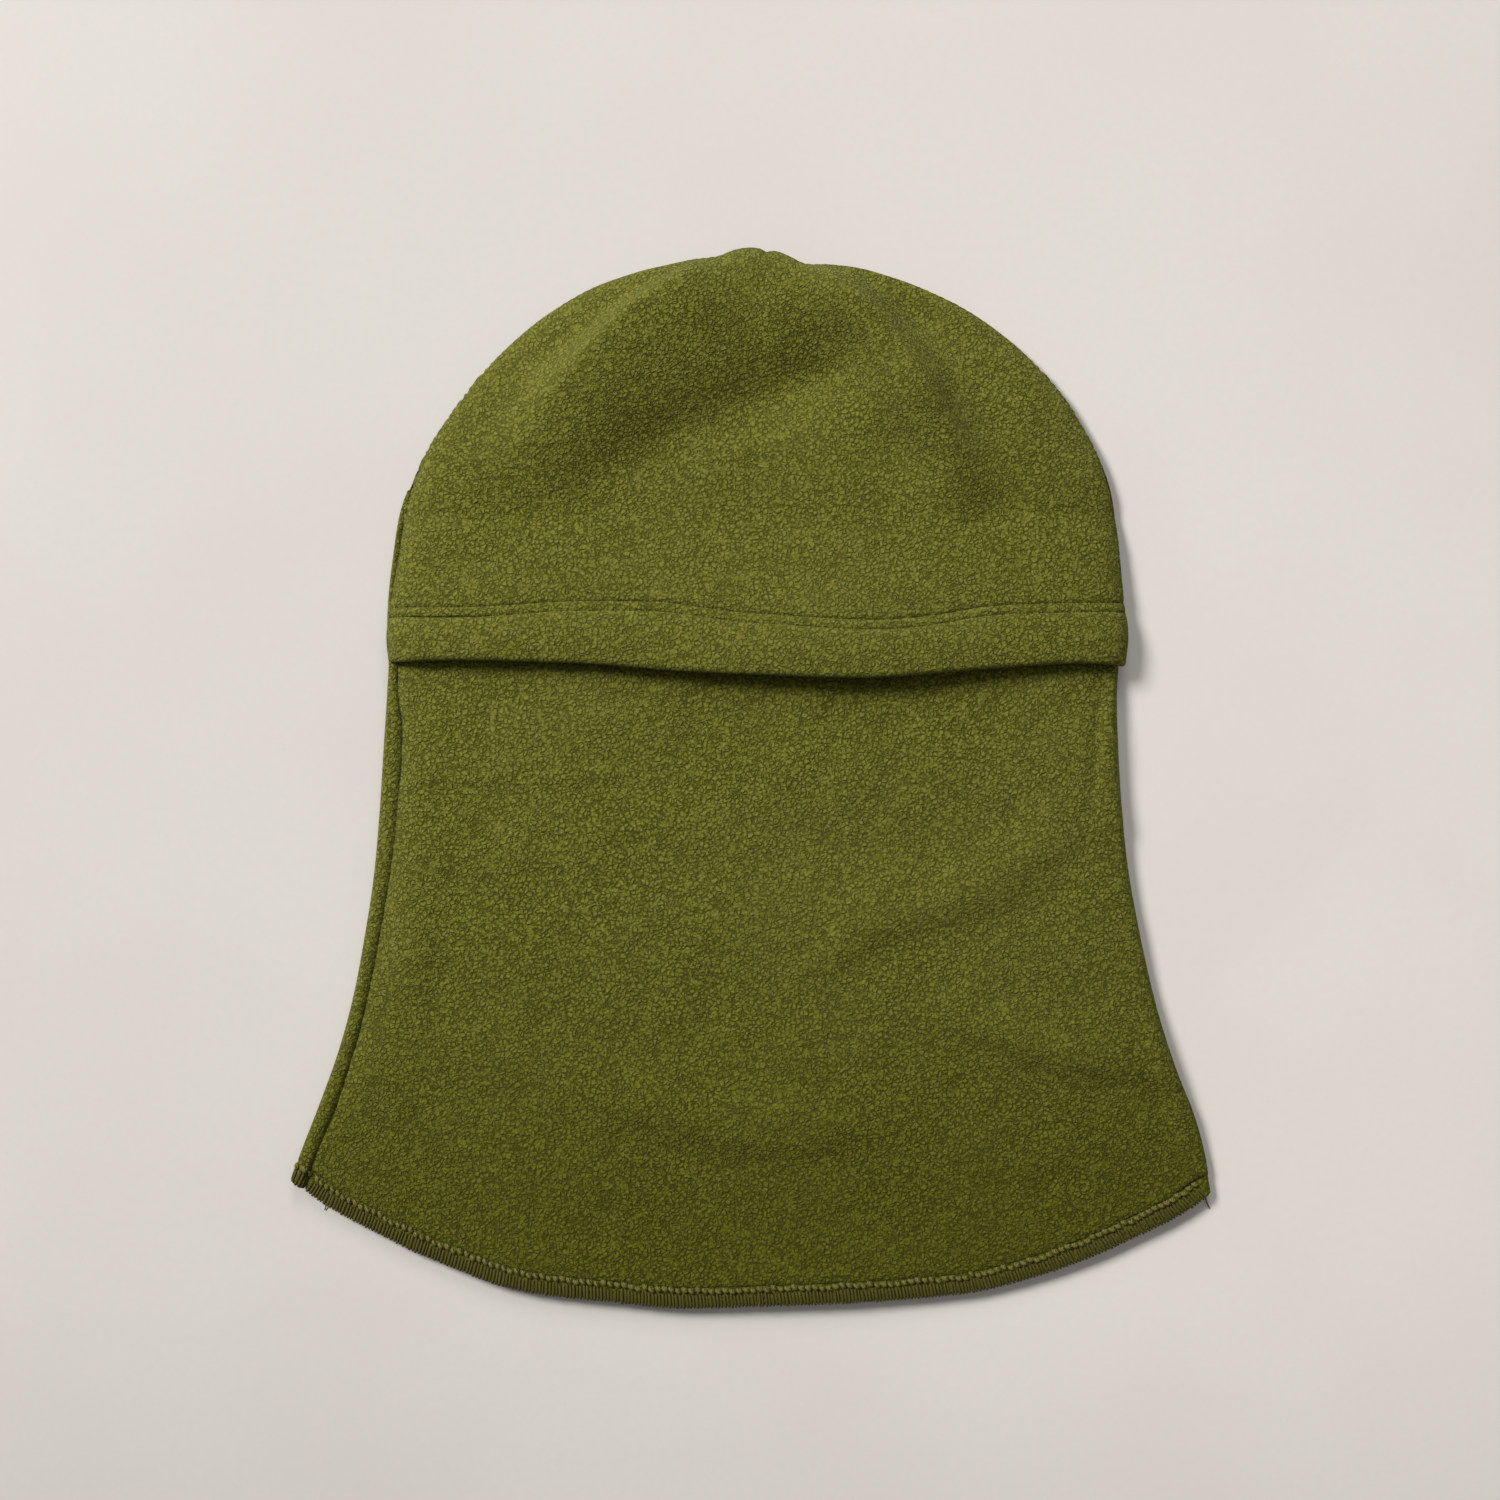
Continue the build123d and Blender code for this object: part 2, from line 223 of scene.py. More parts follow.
def crown_height(x, y):
    """Middle layer of the crown panel's outer cloth."""
    from_seam = distance_to(x, y, crown_edge)
    brow_share = 1 - smooth_step(40, 80, y)
    height = 3.1 + 1.0 * brow_share
    height = height + (4.2 + 1.6 * brow_share) * (1 - np.exp(-from_seam / 3.2))
    height = height + 3.4 * (1 - np.exp(-from_seam / 30.0))
    height = height + 2.4 * (1 - smooth_step(60, 102, y))
    # two folds run down from the peak, with a hollow between them
    grown = 1 - np.exp(-from_seam / 3.0)
    folds = crest(
        x, y, left_crest, (3.0, 9.5, 12.5, 12.0, 7.5, 0.0), (12, 34, 36, 28, 18), (2.4, 3.4, 6, 11, 15)
    )
    folds = folds + crest(
        x, y, right_crest, (3.0, 9.5, 12.0, 11.5, 7.0, 0.0), (3.4, 7, 9, 9, 12), (7, 12, 14, 15)
    )
    height = height + folds * grown
    height = height + 2.0 * grown * bump(x, y, (4, 172), 18, 12)
    height = height - 8.0 * bump(x, y, (21, 144), 27, 14, 24)
    height = height - 3.6 * bump(x, y, (-27, 124), 34, 13, 28)
    height = height - 4.2 * bump(x, y, (54, 118), 15, 10, -35)
    height = height - 3.0 * grown * bump(x, y, (56, 170), 28, 8, -36)
    height = height + 0.9 * bump(x, y, (104, 116), 24, 12, -62)
    height = height + 0.8 * bump(x, y, (-100, 112), 26, 13, 58)
    # faint crease where the crown turns towards the brow
    apart = smooth_step(48, 86, np.abs(x))
    height = height - 0.8 * apart * np.exp(-(((y - 97 + 0.02 * np.abs(x)) / 5.5) ** 2))
    # the brow stands proudest right of the middle
    height = height + 3.8 * bump(x, y, (24, 34), 54, 38)
    # hem: puffed between the fold and the needle rows, which pull the cloth down
    up = y - brow_y(x)
    hem = stitch_y(x) - brow_y(x)
    height = height + 0.9 * np.sin(np.pi * np.clip(up / (hem - 1.8), 0, 1)) ** 0.8
    for row in (-BROW_ROW_GAP, 0.0):
        height = height - 1.6 * np.exp(-(((y - stitch_y(x) - row) / 0.66) ** 2))
    height = height - 0.3 * np.exp(-(((y - stitch_y(x) + 1.8) / 5.0) ** 2))
    # closed dart at the peak
    dart_x = np.interp(y, (183.0, 190.5), (7.8, 5.0))
    dart = np.exp(-(((x - dart_x) / 0.9) ** 2)) * smooth_step(180.5, 184.5, y)
    return height - 1.5 * dart + 0.3 * slow_waves(x, y, 1)


slack_folds = [
    # line of the fold, its height along the line, flank widths, how far its crest lies off
    (((12, -82), (22, -76), (51, -58), (88, -47), (105, -32), (130, -20)),
     (0.0, 2.2, 2.6, 2.2, 1.2), (12.0,), (6.5,), 6.0),
    (((60, -84), (94, -100), (120, -108), (152, -111)),
     (0.0, 3.2, 3.0, 1.4), (11.0,), (5.5,), 5.0),
    (((-78, -112), (-39, -126), (3, -137), (40, -133), (66, -126)),
     (0.0, 2.5, 3.3, 2.8, 0.0), (13.0,), (6.5,), 6.0),
    (((-20, -120), (10, -126), (44, -128)), (0.0, 1.6, 0.0), (9.0,), (5.0,), 4.0),
    (((-86, -48), (-82, -66), (-74, -90)), (0.0, 1.4, 0.0), (9.0,), (12.0,), -5.0),
    (((-126, 2), (-128, -30), (-132, -70), (-140, -100)),
     (0.2, 1.7, 1.5, 0.3), (9.0,), (7.0,), 8.0),
    (((84, 8), (104, 4), (120, -14)), (0.0, 0.6, 0.0), (8.0,), (5.0,), 3.0),
]


def face_height(x, y):
    """Middle layer of the face panel."""
    from_left = distance_to(x, y, seam_line)
    from_right = distance_to(x, y, right_side)
    under_brow = smooth_step(30, 48, y)
    height = 3.5 + 2.9 * (1 - np.exp(-from_left / 2.2))
    height = height + 1.6 * (1 - np.exp(-np.minimum(from_left, from_right) / 28.0))
    height = height - 0.9 * under_brow
    # cloth lies lower towards the neck edge
    height = height - 1.7 * (1 - smooth_step(-200, -90, y))
    height = height - 0.6 * (1 - smooth_step(-120, 10, y))
    height = height + 0.9 * bump(x, y, (20, 6), 110, 24)
    # slack folds and swells
    for line, heights, left_width, right_width, shift in slack_folds:
        path = smooth_curve(line, 2.0)
        height = height + crest(x, y, path, heights, left_width, right_width, shift)
    height = height + 1.3 * bump(x, y, (-88, -24), 26, 15, 18)
    height = height - 1.1 * bump(x, y, (-20, -84), 44, 16, 8)
    height = height + 0.6 * bump(x, y, (30, -106), 40, 12, -6)
    height = height - 0.7 * bump(x, y, (-34, 8), 40, 11, 4)
    # square-cut edge of the cloth tucked inside, showing faintly through
    inside = smooth_step(-127, -121, x) * (1 - smooth_step(-47, -42, x))
    height = height + 0.6 * inside * smooth_step(-3.6, -0.6, y) * (1 - smooth_step(16, 34, y))
    # crease beside the right edge, and a long soft one above the right corner
    height = height - 1.0 * bump(x, y, (125, 14), 30, 2.6, 85)
    height = height + 0.8 * bump(x, y, (129, 12), 32, 2.2, 85)
    height = height + 1.4 * bump(x, y, (155, -118), 21, 3.6, -66)
    height = height - 1.0 * bump(x, y, (147, -116), 22, 4.0, -66)
    return height + 0.35 * slow_waves(x, y, 2)


def back_height(x, y):
    """Middle layer of the back panel, which lies on the surface below."""
    from_edge = distance_to(x, y, back_crown_edge)
    return BACK_MIDDLE + 0.25 * np.exp(-from_edge / 4.0)


def slow_waves(x, y, seed):
    """Unevenness of cloth that has been handled, about 1 either way."""
    draw = np.random.default_rng(seed)
    total = 0 * x
    for size in (46, 33, 24, 17, 12, 8):
        for _ in range(3):
            heading = draw.uniform(0, 2 * math.pi)
            start = draw.uniform(0, 2 * math.pi)
            wave = (x * math.cos(heading) + y * math.sin(heading)) * 2 * math.pi / size
            total = total + np.sin(wave + start) * size / 120
    return total


# ------------------------------------------------------------------ cloth meshes

def grid_normals(grid):
    return unit_rows(np.cross(np.gradient(grid, axis=1), np.gradient(grid, axis=0)))


def place_object(name, held):
    """An object in the scene that holds a mesh, a light or the camera."""
    made = bpy.data.objects.new(name, held)
    bpy.context.collection.objects.link(made)
    return made


def new_object(name, points, faces, material):
    mesh = bpy.data.meshes.new(name)
    mesh.from_pydata((np.asarray(points) * MM).tolist(), [], faces)
    mesh.validate()
    mesh.shade_smooth()
    piece = place_object(name, mesh)
    mesh.materials.append(material)
    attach(piece, "root")
    return piece


def cloth_piece(name, grid, thickness, material):
    """A closed sheet of cloth about a grid of middle points; returns it and its two faces."""
    rows, columns = grid.shape[:2]
    thickness = np.broadcast_to(thickness, (rows, columns))[:, :, None]
    normals = grid_normals(grid)
    outer = grid + normals * thickness / 2
    inner = grid - normals * thickness / 2
    number = np.arange(rows * columns).reshape(rows, columns)
    loop = np.r_[
        number[0, :-1], number[:-1, -1], number[-1, :0:-1], number[:0:-1, 0]
    ]
    flat = grid.reshape(-1, 3)
    edge = flat[loop]
    ahead = unit_rows(np.roll(edge, -1, axis=0) - np.roll(edge, 1, axis=0))
    outward = np.cross(ahead, normals.reshape(-1, 3)[loop])
    place = np.arange(len(loop))
    rough = 0.30 + 0.13 * np.sin(place * 1.9 + 2.0 * np.sin(place * 0.61))
    rough = rough + 0.08 * np.sin(place * 0.83)
    rim = edge + outward * thickness.reshape(-1, 1)[loop] * rough[:, None]
    size = rows * columns
    points = np.vstack([outer.reshape(-1, 3), inner.reshape(-1, 3), rim])
    corner = number[:-1, :-1].ravel()
    right, above = number[:-1, 1:].ravel(), number[1:, :-1].ravel()
    far = number[1:, 1:].ravel()
    faces = np.stack([corner, right, far, above], 1).tolist()
    faces += (np.stack([above, far, right, corner], 1) + size).tolist()
    ring = 2 * size + np.arange(len(loop))
    after, ring_after = np.roll(loop, -1), np.roll(ring, -1)
    faces += np.stack([loop, ring, ring_after, after], 1).tolist()
    faces += np.stack([ring, loop + size, after + size, ring_after], 1).tolist()
    piece = new_object(name, points, faces, material)
    return piece, outer, inner


def between(bottom, top, left, right):
    """A grid of plan points between four edge curves that meet at their ends."""
    u = np.linspace(0, 1, len(bottom))[None, :, None]
    v = np.linspace(0, 1, len(left))[:, None, None]
    sides = (1 - v) * bottom[None] + v * top[None] + (1 - u) * left[:, None] + u * right[:, None]
    corners = (
        (1 - u) * (1 - v) * bottom[0] + u * (1 - v) * bottom[-1]
        + (1 - u) * v * top[0] + u * v * top[-1]
    )
    return sides - corners


def raise_grid(plan, height):
    return np.dstack([plan, height(plan[:, :, 0], plan[:, :, 1])])


def edge_band(edge, first_side, last_side, offsets, reach=9.0):
    """Rows drawn in from an edge, square to it, and along the sides at its two ends."""
    ahead = unit_rows(np.gradient(edge, axis=0))
    square = np.stack([-ahead[:, 1], ahead[:, 0]], 1)
    place = np.r_[0, np.cumsum(np.linalg.norm(np.diff(edge, axis=0), axis=1))]
    near_first = np.exp(-place / reach)[:, None]
    near_last = np.exp(-(place[-1] - place) / reach)[:, None]
    way = square * (1 - near_first - near_last)
    way = unit_rows(way + first_side * near_first + last_side * near_last)
    return [edge + way * offset for offset in offsets]


def side_start(side):
    """Which way a panel's side sets off from the neck edge."""
    return unit_rows(side[12] - side[0])


def climb_from(row, end, side, top, count, gap=0.8):
    """Evenly spaced points up a side, from one end of a row to the top."""
    above = side[side[:, 1] > row[end, 1] + gap]
    return spread(np.vstack([row[end:end + 1 or None], above] + top), np.linspace(0, 1, count))


def distance_from_neck(grid):
    return distance_to(grid[:, :, 0], grid[:, :, 1], neck_edge)


def cloth_thickness(grid):
    """Full thickness, less where the overlock squeezes the neck edge."""
    squeezed = 1 - smooth_step(OVERLOCK - 0.6, OVERLOCK + 0.6, distance_from_neck(grid))
    return CLOTH + (EDGE_CLOTH - CLOTH) * squeezed


def outward_from(last, inward):
    """Level direction from a side's inner column out past its last one."""
    outward = last - inward
    outward[:, 2] = 0
    return unit_rows(outward)


# ------------------------------------------------------------------ shader expressions

class Socket:
    """A shader value that takes part in Python expressions."""

    def __init__(self, material, output):
        self.material = material
        self.output = output

    def math(self, operation, *values):
        return self.material.node("ShaderNodeMath", {"operation": operation}, *values)

    def __add__(self, other):
        return self.math("ADD", self, other)

    def __radd__(self, other):
        return self.math("ADD", other, self)

    def __sub__(self, other):
        return self.math("SUBTRACT", self, other)

    def __rsub__(self, other):
        return self.math("SUBTRACT", other, self)

    def __mul__(self, other):
        return self.math("MULTIPLY", self, other)

    def __truediv__(self, other):
        return self.math("DIVIDE", self, other)

    def between(self, low, high):
        """0 at low, 1 at high, eased and clamped."""
        return self.material.node(
            "ShaderNodeMapRange", {"interpolation_type": "SMOOTHSTEP"},
            Value=self, **{"From Min": low, "From Max": high},
        )


class Material:
    """A node material that is built by expressions."""

    def __init__(self, name):
        self.block = bpy.data.materials.new(name)
        self.block.use_nodes = True
        self.tree = self.block.node_tree
        self.tree.nodes.clear()

    def node(self, kind, settings=None, *values, output=0, **named):
        made = self.tree.nodes.new(kind)
        for setting, value in (settings or {}).items():
            setattr(made, setting, value)
        for socket, value in zip(made.inputs, values):
            self.feed(socket, value)
        for name, value in named.items():
            self.feed(next(s for s in made.inputs if s.name == name and s.enabled), value)
        return Socket(self, made.outputs[output]) if len(made.outputs) else None

    def feed(self, socket, value):
        """Link a value to a node's input, or set it there if it is a plain one."""
        if isinstance(value, Socket):
            self.tree.links.new(value.output, socket)
        else:
            socket.default_value = value

    def place(self):
        """Object coordinates in millimetres."""
        where = self.node("ShaderNodeTexCoord", output=3)
        return self.node("ShaderNodeMapping", Vector=where, Scale=(1 / MM, 1 / MM, 1 / MM))

    def along(self, axis):
        """How far along the object, across it (0) or towards the crown (1)."""
        where = self.node("ShaderNodeTexCoord", output=3)
        return self.node("ShaderNodeSeparateXYZ", None, where, output=axis) / MM

    def noise(self, where, size, detail=3.0, rough=0.55):
        return self.node(
            "ShaderNodeTexNoise", Vector=where, Scale=1 / size, Detail=detail, Roughness=rough
        )

    def mix(self, share, low, high, blend="MIX"):
        made = self.tree.nodes.new("ShaderNodeMix")
        made.data_type = "RGBA"
        made.blend_type = blend
        colours = [s for s in made.inputs if s.type == "RGBA"]
        for socket, value in zip((made.inputs[0], *colours), (share, low, high)):
            self.feed(socket, value)
        return Socket(self, next(s for s in made.outputs if s.type == "RGBA"))

    def bump(self, height, depth, normal=None):
        named = {"Height": height, "Distance": depth * MM, "Strength": 1.0}
        if normal is not None:
            named["Normal"] = normal
        return self.node("ShaderNodeBump", **named)

    def finish(self, **named):
        surface = self.node("ShaderNodeBsdfPrincipled", **named)
        self.node("ShaderNodeOutputMaterial", Surface=surface)
        return self.block


def colour(red, green, blue):
    """Display values from 0 to 255 as a linear colour."""
    parts = [value / 255 for value in (red, green, blue)]
    linear = [p / 12.92 if p <= 0.04045 else ((p + 0.055) / 1.055) ** 2.4 for p in parts]
    return (*linear, 1.0)


def fleece_material():
    """Brushed fleece whose nap has balled into small soft pebbles."""
    make = Material("moss_fleece")
    where = make.place()
    drift = make.node("ShaderNodeTexNoise", Vector=where, Scale=0.55, Detail=2.0, output=1)
    pushed = make.node(
        "ShaderNodeVectorMath", {"operation": "MULTIPLY_ADD"}, drift, (1.9, 1.9, 1.9), where
    )
    cells = make.node(
        "ShaderNodeTexVoronoi", {"feature": "DISTANCE_TO_EDGE"}, Vector=pushed, Scale=0.6,
        Randomness=1.0,
    )
    lumps = make.node(
        "ShaderNodeTexVoronoi", {"feature": "SMOOTH_F1"}, Vector=pushed, Scale=0.8,
        Smoothness=0.5, Randomness=1.0,
    )
    fibre = make.noise(where, 0.5, 4.0, 0.7)
    worn = make.noise(where, 2.8, 2.0)
    patch = make.noise(where, 16.0, 3.0)
    broad = make.noise(where, 70.0, 2.0)
    crevice = (1 - cells.between(0.0, 0.21)) * worn.between(0.18, 0.58)
    rounded = 1 - lumps.between(0.15, 0.85)
    raised = 0.44 + rounded * 0.5 - crevice * 0.62 + fibre * 0.3
    dark = colour(73, 75, 12)
    middle = colour(113, 113, 40)
    light = colour(128, 129, 62)
    # painted shade and painted highlight: the colour darkens into the nap's crevices and lightens on
    # the pebble tops, following the heights that the bump also uses
    base = make.mix(raised.between(0.3, 0.86), dark, middle)
    base = make.mix(raised.between(0.78, 1.1) * 0.55, base, light)
    base = make.mix(patch.between(0.35, 0.75) * 0.2, base, colour(95, 99, 34))
    base = make.mix(broad.between(0.3, 0.7) * 0.16, base, colour(116, 112, 52))
    # painted shade: the cloth is made darker and yellower towards the neck edge, standing for the
    # light falling off there
    painted_shade = 1 - make.along(1).between(-190.0, -20.0)
    base = make.mix(painted_shade, base, (0.66, 0.67, 0.26, 1.0), "MULTIPLY")
    normal = make.bump(raised, 0.72)
    normal = make.bump(fibre, 0.16, normal)
    return make.finish(**{
        "Base Color": base, "Roughness": 0.96, "Normal": normal,
        "Sheen Weight": 0.3, "Sheen Roughness": 0.55, "Sheen Tint": colour(170, 175, 110),
        "Specular IOR Level": 0.1,
    })


def thread_material(name, dark, light):
    """Dull brown-green sewing thread with a twist."""
    make = Material(name)
    where = make.place()
    twist = make.node(
        "ShaderNodeTexWave", {"wave_type": "BANDS", "bands_direction": "DIAGONAL"},
        Vector=where, Scale=0.75, Distortion=2.4, Detail=2.0,
    )
    fuzz = make.noise(where, 0.3, 3.0)
    tint = make.noise(where, 9.0, 2.0)
    raised = twist * 0.6 + fuzz * 0.4
    base = make.mix(raised.between(0.2, 0.85), dark, light)
    base = make.mix(tint.between(0.4, 0.7) * 0.3, base, colour(78, 66, 22))
    return make.finish(**{
        "Base Color": base, "Roughness": 0.8, "Normal": make.bump(raised, 0.12),
        "Specular IOR Level": 0.25,
    })


def needle_material():
    """The brow's thread, a shade darker than the fleece."""
    make = Material("dark_moss_thread")
    where = make.place()
    fuzz = make.noise(where, 0.35, 3.0)
    tint = make.noise(where, 5.0, 2.0)
    base = make.mix(fuzz.between(0.3, 0.7), colour(34, 36, 7), colour(64, 66, 21))
    base = make.mix(tint.between(0.4, 0.7) * 0.3, base, colour(58, 56, 18))
    return make.finish(**{
        "Base Color": base, "Roughness": 0.85, "Normal": make.bump(fuzz, 0.1),
        "Specular IOR Level": 0.25,
    })


def table_material():
    """Pale, faintly mottled tabletop, with painted shade that darkens it beyond the crown, to the left
    and beyond the neck.
    """
    make = Material("pale_table")
    where = make.place()
    grain = make.noise(where, 3.0, 4.0)
    cloud = make.noise(where, 120.0, 2.0)
    base = make.mix(grain, colour(226, 222, 216), colour(232, 228, 222))
    base = make.mix(cloud.between(0.3, 0.7) * 0.35, base, colour(221, 216, 209))
    # painted shade: the tabletop darkens towards the crown's end, towards the left and towards the
    # neck's end
    for axis, start, stop, painted_shade in (
        (1, -300.0, 400.0, (0.81, 0.81, 0.82, 1.0)),
        (0, 300.0, -300.0, (0.80, 0.80, 0.80, 1.0)),
        (1, -150.0, -330.0, (0.91, 0.91, 0.91, 1.0)),
    ):
        base = make.mix(make.along(axis).between(start, stop), base, painted_shade, "MULTIPLY")
    return make.finish(**{
        "Base Color": base, "Roughness": 0.55, "Normal": make.bump(grain, 0.02),
        "Specular IOR Level": 0.3,
    })


fleece = fleece_material()
thread = thread_material("brown_olive_thread", colour(50, 47, 10), colour(98, 93, 34))
bead_thread = thread_material("pale_olive_thread", colour(70, 66, 22), colour(126, 121, 62))
needle_thread = needle_material()

# ------------------------------------------------------------------ crown panel

def crown_plan():
    """Plan rows of the crown panel, from the brow fold up to the peak seam."""
    columns = 222
    hem_offsets = np.r_[
        np.arange(0, 14.0, 1.0), np.arange(14.0, 23.4, 0.36), np.arange(23.6, 29.0, 0.9)
    ]
    shares = np.linspace(0, 1, columns)
    split_left = int(np.argmax(crown_edge[:, 1] > SHOULDER_Y))
    split_right = len(crown_edge) - 1 - int(np.argmax(crown_edge[::-1, 1] > SHOULDER_Y))
    left, right = crown_edge[:split_left + 1], crown_edge[split_right:][::-1]
    rows = []
    for offset in hem_offsets:
        level = brow_line[:, 1] + FOLD_RADIUS + CLOTH / 2 + offset
        start = left[np.argmin(np.abs(left[:, 1] - np.interp(-131, brow_line[:, 0], level)))]
        start_x = np.interp(np.interp(start[0], brow_line[:, 0], level), left[:, 1], left[:, 0])
        stop_x = np.interp(np.interp(134, brow_line[:, 0], level), right[:, 1], right[:, 0])
        x = start_x + (stop_x - start_x) * shares
        rows.append(np.stack([x, np.interp(x, brow_line[:, 0], level)], 1))
    first = rows[-1]
    top = spread(crown_edge[split_left:split_right + 1], shares)
    climb = int((top[columns // 2, 1] - first[columns // 2, 1]) / 1.15)
    left_way = climb_from(first, 0, left, [], climb, 0.5)
    right_way = climb_from(first, -1, right, [], climb, 0.5)
    left_way[-1], right_way[-1] = top[0], top[-1]
    return np.concatenate([np.array(rows), between(first, top, left_way, right_way)[1:]])


def fold_under(plan_edge, height, depth, spacing=1.6):
    """Rows of cloth turned under at an edge: the hidden end first, then round the fold."""
    rows = []
    drop = 2 * FOLD_RADIUS
    for back in np.arange(depth, 0.4, -spacing):
        row = plan_edge + (0, back)
        rows.append(np.column_stack([row, height(row[:, 0], row[:, 1]) - drop]))
    top = height(plan_edge[:, 0], plan_edge[:, 1])
    for angle in np.radians(np.linspace(-90, 75, 10)):
        row = plan_edge - (0, FOLD_RADIUS * math.cos(angle))
        rows.append(np.column_stack([row, top - FOLD_RADIUS + FOLD_RADIUS * math.sin(angle)]))
    return np.array(rows)


crown_rows = crown_plan()
crown_main = raise_grid(crown_rows, crown_height)
crown_fold = fold_under(crown_rows[0], crown_height, BROW_HEM - 1.0)
crown_grid = np.concatenate([crown_fold, crown_main])
crown_panel, _, _ = cloth_piece("crown_front_cloth", crown_grid, CLOTH, fleece)
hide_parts("crown_front_panel", "brow_hem_turnup")

# ------------------------------------------------------------------ face panel

def face_plan():
    """Plan rows of the face panel, from the neck edge up to its end under the brow."""
    columns = 236
    shares = np.linspace(0, 1, columns)
    edge = spread(face_neck_edge, shares)
    offsets = np.r_[0, 0.7, 1.8, 3.2, 4.8, np.arange(5.7, 7.6, 0.38), 8.6, 9.8]
    rows = edge_band(edge, side_start(seam_line), side_start(right_side), offsets)
    first = rows[-1]
    top = np.stack([np.linspace(-123.5, 124.5, columns), np.full(columns, TUCK_END)], 1)
    climb = int((TUCK_END - first[columns // 2, 1]) / 1.35)
    left_way = climb_from(first, 0, seam_line, [top[:1]], climb)
    right_way = climb_from(first, -1, right_side, [top[-1:]], climb)
    return np.concatenate([np.array(rows), between(first, top, left_way, right_way)[1:]])


face_grid = raise_grid(face_plan(), face_height)


def neck_mouth_lift(x):
    """The front cloth's height over the back cloth along the neck edge."""
    return 3.9 + 1.5 * np.exp(-((x / 95) ** 2)) + 0.25 * np.sin(x / 17)


from_neck = distance_from_neck(face_grid)
near_neck = 1 - smooth_step(0, 1, from_neck / 42)
face_grid[:, :, 2] += near_neck * (neck_mouth_lift(face_grid[:, :, 0]) - face_grid[:, :, 2])
face_grid[:, :, 2] -= 0.45 * np.exp(-(((from_neck - OVERLOCK - 0.3) / 0.6) ** 2))

# the right side rolls over and down to its seam with the back panel
roll_radius = 2.3
last = face_grid[:, -1]
outward = outward_from(last, face_grid[:, -2])
roll_height = np.clip((last[:, 2] - BACK_MIDDLE - CLOTH * 0.8) / 2, 0.4, roll_radius)[:, None]
rolled = []
for turn in np.linspace(0, 0.86, 7)[1:] * math.pi:
    rolled.append(
        last + outward * roll_radius * (math.sin(turn / 2) - 1)
        - UP * roll_height * (1 - math.cos(turn))
    )
face_grid = np.concatenate([face_grid[:, :-ROLLED_COLUMNS], np.stack(rolled, 1)], axis=1)

tuck_rows = face_grid[-1, :, :2]
face_under = []
for back in np.arange(0, FACE_HEM, 1.8):
    row = tuck_rows - (0, back)
    level = np.interp(back, (0, FACE_HEM), (0, 0.2))
    height = face_height(row[:, 0], row[:, 1]) - 2 * FOLD_RADIUS - level
    face_under.append(np.column_stack([row, height]))
face_fold = []
for angle in np.radians(np.linspace(75, -75, 8)):
    row = tuck_rows + (0, FOLD_RADIUS * math.cos(angle))
    level = face_grid[-1, :, 2] - FOLD_RADIUS + FOLD_RADIUS * math.sin(angle)
    face_fold.append(np.column_stack([row, level]))
face_grid = np.concatenate([face_grid, np.array(face_fold), np.array(face_under)])
face_panel, face_outer, _ = cloth_piece(
    "face_panel_cloth", face_grid, cloth_thickness(face_grid), fleece
)
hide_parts("face_panel", "face_hem_turnup")

# ------------------------------------------------------------------ back panel

def back_plan():
    """Plan rows of the back panel, from the neck edge up to the crown seam."""
    columns = 190
    shares = np.linspace(0, 1, columns)
    edge = spread(neck_edge, shares)
    split_left = int(np.argmax(back_crown_edge[:, 1] > SHOULDER_Y))
    split_right = len(back_crown_edge) - 1 - int(np.argmax(back_crown_edge[::-1, 1] > SHOULDER_Y))
    left_line = np.vstack([left_side, back_crown_edge[1:split_left + 1]])
    right_line = np.vstack([right_side, back_crown_edge[split_right:][::-1][1:]])
    offsets = np.r_[0, 0.8, 2.2, 3.8, 5.4, 6.4, 7.4, 8.8]
    rows = edge_band(edge, side_start(left_side), side_start(right_side), offsets)
    first = rows[-1]
    top = spread(back_crown_edge[split_left:split_right + 1], shares)
    climb = 205
    left_way = climb_from(first, 0, left_line, [], climb)
    right_way = climb_from(first, -1, right_line, [], climb)
    return np.concatenate([np.array(rows), between(first, top, left_way, right_way)[1:]])


back_grid = raise_grid(back_plan(), back_height)
back_grid[:, :, 2] += 0.5 * (1 - smooth_step(3.0, 16.0, distance_from_neck(back_grid)))

# the left side rolls up and over to the seam
first = back_grid[:, 0]
outward = outward_from(first, back_grid[:, 1])
wrap = left_wrap(first[:, 1])[:, None] * (first[:, 1:2] < 101)
wrap = np.maximum(wrap, 0.05)
radius = np.minimum(2.1, wrap * 0.62)
rolled = []
for turn in np.linspace(-0.42, 0.5, 9) * math.pi:
    rolled.append(
        first + outward * radius * (math.cos(turn) - 1)
        + UP * radius * (1 + math.sin(turn))
    )
lip = rolled[-1]
for share in (0.35, 0.7, 1.0):
    reach = np.maximum(wrap - radius - 0.5, 0) * share
    rolled.append(lip - outward * reach - UP * 1.9 * share**3 * radius / 2.1)
rolled = np.stack(rolled[::-1], 1)
back_grid = np.concatenate([rolled, back_grid[:, ROLLED_COLUMNS:]], axis=1)
# its outer face is underneath, so its rows run the other way
back_grid = back_grid[:, ::-1]
back_panel, back_outer, _ = cloth_piece(
    "back_panel_cloth", back_grid, cloth_thickness(back_grid), fleece
)
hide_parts("back_panel")

# ------------------------------------------------------------------ paths on the cloth

def surface_path(x, y, height, lift, side=1.0):
    """Points on a cloth's face and the way that face looks; side is -1 underneath."""
    step = 0.2
    level = height(x, y)
    slope_x = (height(x + step, y) - level) / step
    slope_y = (height(x, y + step) - level) / step
    up = np.stack([-slope_x, -slope_y, np.ones_like(level)], 1)
    return np.stack([x, y, level + lift], 1), side * unit_rows(up)


